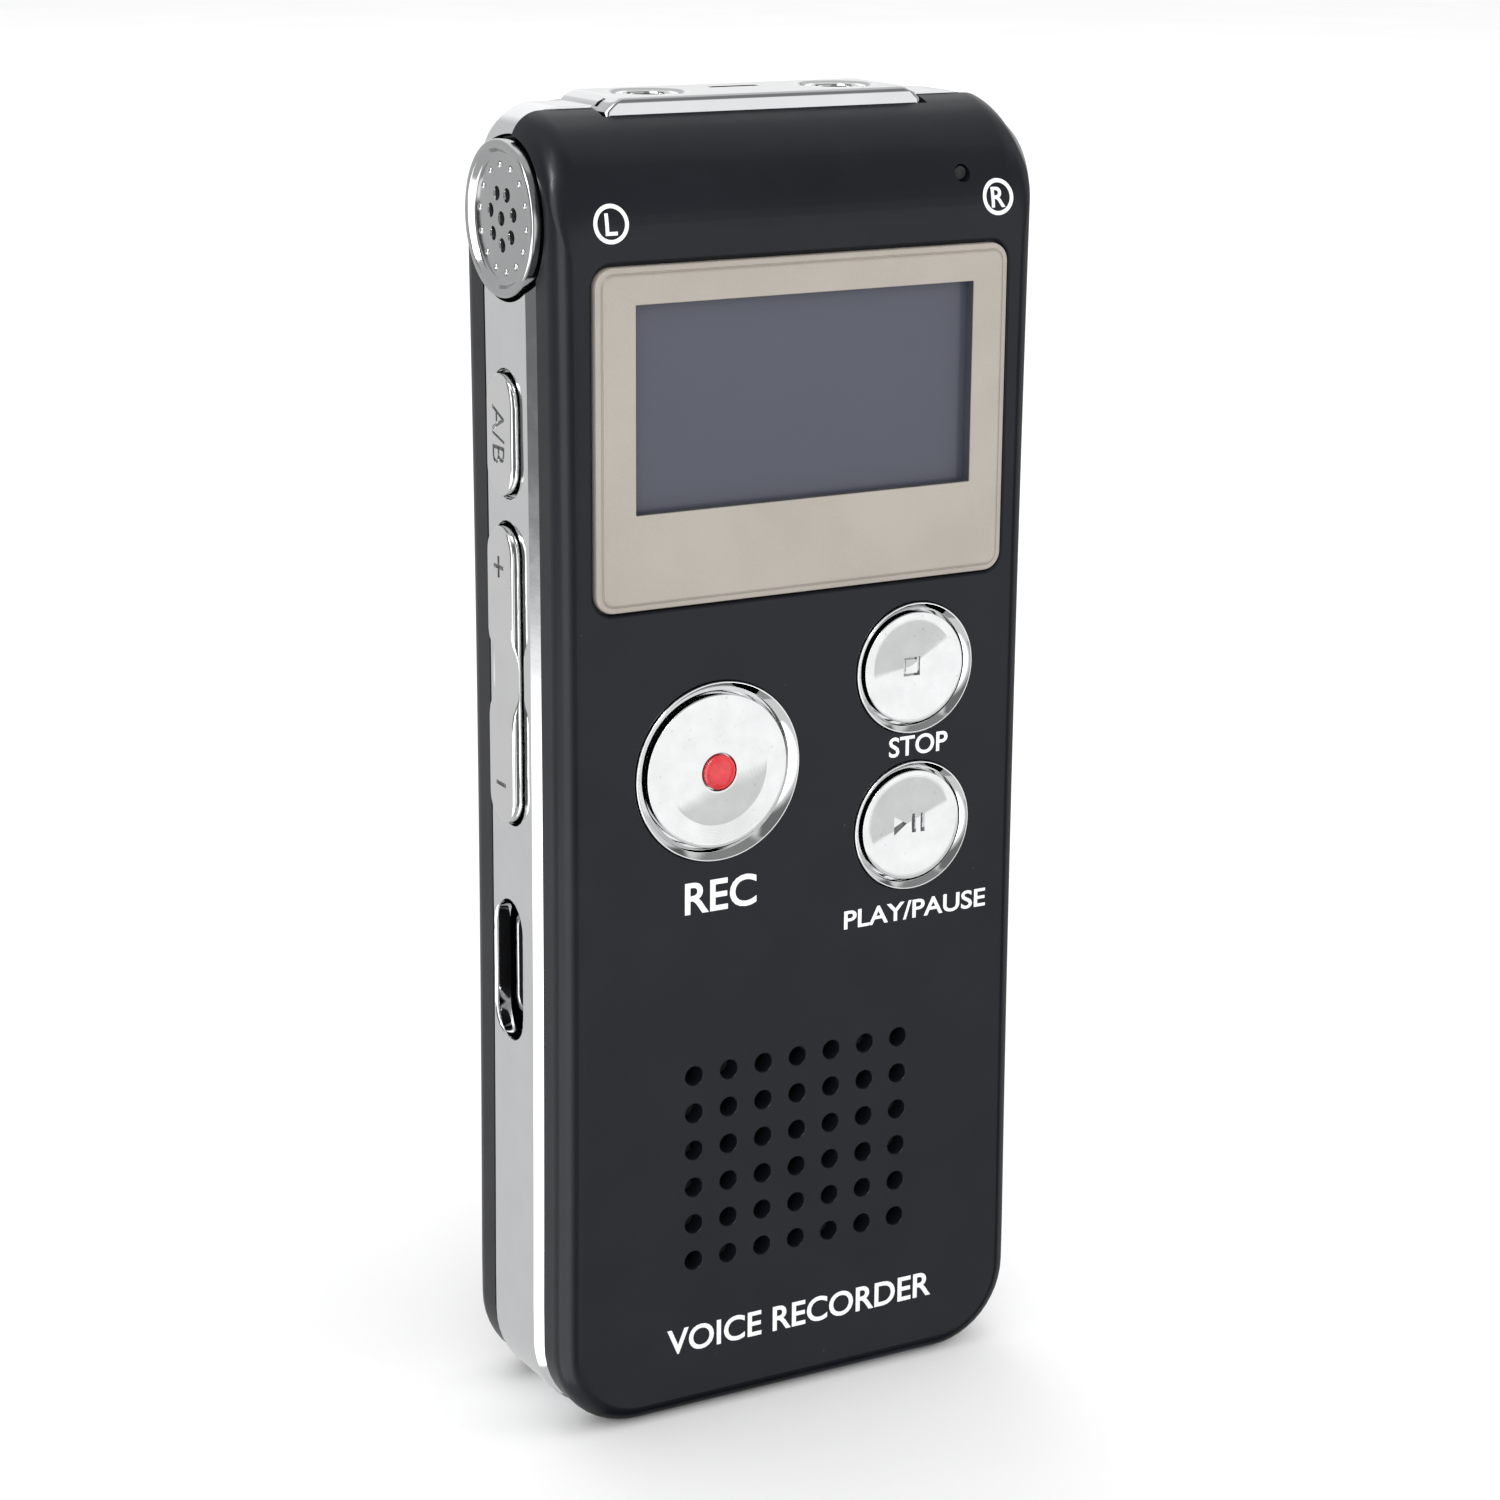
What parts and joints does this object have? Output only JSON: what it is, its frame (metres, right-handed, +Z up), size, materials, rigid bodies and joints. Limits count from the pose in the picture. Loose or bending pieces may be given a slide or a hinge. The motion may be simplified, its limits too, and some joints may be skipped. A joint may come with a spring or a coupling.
{
  "type": "handheld voice recorder",
  "caption": "Slim upright voice recorder: black shells around a chrome frame, display, round buttons, speaker grille, side controls and two sockets on top.",
  "frame": {"origin": "under the middle of the standing recorder, on its bottom face", "axes": "+Z up along its length, the front face with the display towards -Y, +X to the right seen from the front"},
  "size_m": [0.0416, 0.0172, 0.1],
  "materials": {
    "black_shell": "satin soft-touch paint",
    "chrome_frame": "bright plated",
    "chrome_controls": "bright plated, spun faces",
    "bezel": "champagne satin",
    "screen": "clear window over a dark grey display",
    "red_dot": "gloss",
    "bright_steel": "satin",
    "dark_plastic": "matte",
    "rubber": "matte",
    "white_plastic": "matte",
    "circuit_board": "solder mask",
    "battery_foil": "dull foil",
    "ribbon": "polyimide film"
  },
  "bodies": {
    "case": {"front_shell": "black_shell", "rear_shell": "black_shell", "mid_frame": "chrome_frame", "top_plate": "chrome_frame", "left_mic_grille": "chrome_frame", "right_mic_grille": "chrome_frame", "rec_ring": "chrome_controls", "stop_ring": "chrome_controls", "play_ring": "chrome_controls", "display_bezel": "bezel", "display_lens": "screen", "lcd_panel": "screen", "rec_switch": "bright_steel", "stop_switch": "bright_steel", "play_switch": "bright_steel", "ab_switch": "bright_steel", "menu_switch": "bright_steel", "volume_up_switch": "bright_steel", "volume_down_switch": "bright_steel", "next_switch": "bright_steel", "previous_switch": "bright_steel", "hold_switch_body": "bright_steel", "usb_socket": "bright_steel", "left_mic_capsule": "bright_steel", "right_mic_capsule": "bright_steel", "crystal": "bright_steel", "speaker_frame": "bright_steel", "speaker_magnet": "bright_steel", "rear_screw_1": "bright_steel", "rear_screw_2": "bright_steel", "rear_screw_3": "bright_steel", "rear_screw_4": "bright_steel", "microphone_jack": "dark_plastic", "earphone_jack": "dark_plastic", "processor_chip": "dark_plastic", "memory_chip": "dark_plastic", "speaker_cone": "dark_plastic", "left_mic_boot": "rubber", "right_mic_boot": "rubber", "speaker_gasket": "rubber", "battery_pad": "rubber", "lcd_holder": "white_plastic", "status_led": "white_plastic", "light_pipe": "white_plastic", "main_board": "circuit_board", "battery": "battery_foil", "lcd_ribbon": "ribbon"},
    "rec_button": {"rec_button": "chrome_controls", "rec_dot": "red_dot"},
    "stop_button": {"stop_button": "chrome_controls"},
    "play_button": {"play_button": "chrome_controls"},
    "ab_button": {"ab_button": "chrome_controls"},
    "volume_rocker": {"volume_rocker": "chrome_controls"},
    "menu_button": {"menu_button": "chrome_controls"},
    "track_rocker": {"track_rocker": "chrome_controls"},
    "hold_slider": {"hold_slider": "chrome_controls"}
  },
  "joints": [
    {"name": "rec_press", "type": "slide", "parent": "case", "child": "rec_button", "axis": [0, 1, 0], "range_m": [0, 0.00045], "stiffness_N_per_m": 1500},
    {"name": "stop_press", "type": "slide", "parent": "case", "child": "stop_button", "axis": [0, 1, 0], "range_m": [0, 0.00045], "stiffness_N_per_m": 1500},
    {"name": "play_press", "type": "slide", "parent": "case", "child": "play_button", "axis": [0, 1, 0], "range_m": [0, 0.00045], "stiffness_N_per_m": 1500},
    {"name": "ab_press", "type": "slide", "parent": "case", "child": "ab_button", "axis": [1, 0, 0], "range_m": [0, 0.0004], "stiffness_N_per_m": 1500},
    {"name": "menu_press", "type": "slide", "parent": "case", "child": "menu_button", "axis": [-1, 0, 0], "range_m": [0, 0.0004], "stiffness_N_per_m": 1500},
    {"name": "volume_rock", "type": "hinge", "parent": "case", "child": "volume_rocker", "pos_m": [-0.01813, 0.00045, 0.0583], "axis": [0, 1, 0], "range_deg": [-1.8, 1.8], "stiffness_Nm_per_rad": 2},
    {"name": "track_rock", "type": "hinge", "parent": "case", "child": "track_rocker", "pos_m": [0.01813, 0.00045, 0.0583], "axis": [0, 1, 0], "range_deg": [-1.8, 1.8], "stiffness_Nm_per_rad": 2},
    {"name": "hold_slide", "type": "slide", "parent": "case", "child": "hold_slider", "axis": [0, 0, 1], "range_m": [-0.0015, 0.0015]}
  ]
}
